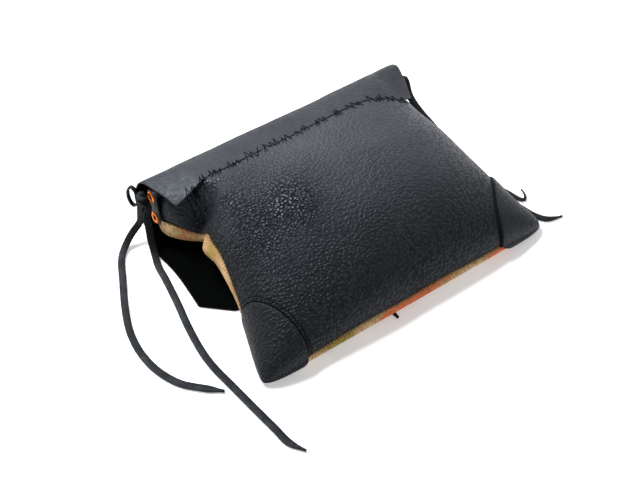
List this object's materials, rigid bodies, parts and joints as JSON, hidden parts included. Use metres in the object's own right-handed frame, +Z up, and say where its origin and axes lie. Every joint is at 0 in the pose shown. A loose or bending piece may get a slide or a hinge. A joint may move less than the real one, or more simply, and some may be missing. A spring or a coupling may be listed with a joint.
{
  "type": "shoulder bag",
  "caption": "Soft leather shoulder bag lying on its front, with a flap folded over its mouth, corner patches, side tabs with eyelets and trailing laces.",
  "frame": {"origin": "on the surface that the bag lies on, under the middle of the bag without its laces", "axes": "+X across the bag, +Y from its bottom edge to its mouth, +Z up out of its back"},
  "size_m": [0.4257, 0.3163, 0.0801],
  "materials": {
    "back_leather": "pebbled, half glossy",
    "flap_leather": "smooth, matt",
    "patch_leather": "finely pebbled, half glossy",
    "painted_leather": "painted, matt",
    "lace_leather": "smooth, matt",
    "thread": "waxed thread",
    "eyelet_metal": "polished copper colour"
  },
  "bodies": {
    "bag": {"back_panel": "back_leather", "front_panel": "painted_leather", "flap_back_strip": "flap_leather", "flap_stitching": "thread", "corner_patch_left": "patch_leather", "corner_patch_right": "patch_leather", "side_tab_left": "flap_leather", "side_tab_right": "flap_leather", "eyelet_left_upper": "eyelet_metal", "eyelet_left_lower": "eyelet_metal", "eyelet_right_upper": "eyelet_metal", "eyelet_right_lower": "eyelet_metal", "lace_knot_left": "lace_leather", "lace_knot_right": "lace_leather", "lace_loop_left": "lace_leather", "lace_loop_right": "lace_leather", "lace_left_tail_outer": "lace_leather", "lace_left_tail_inner": "lace_leather", "lace_right_tail_outer": "lace_leather", "lace_right_tail_inner": "lace_leather"},
    "flap": {"flap": "flap_leather", "flap_tie": "lace_leather"}
  },
  "joints": [
    {"name": "flap_hinge", "type": "hinge", "parent": "bag", "child": "flap", "pos_m": [0, 0.12145, 0.0358], "axis": [1, 0, 0], "range_deg": [0, 165]}
  ]
}
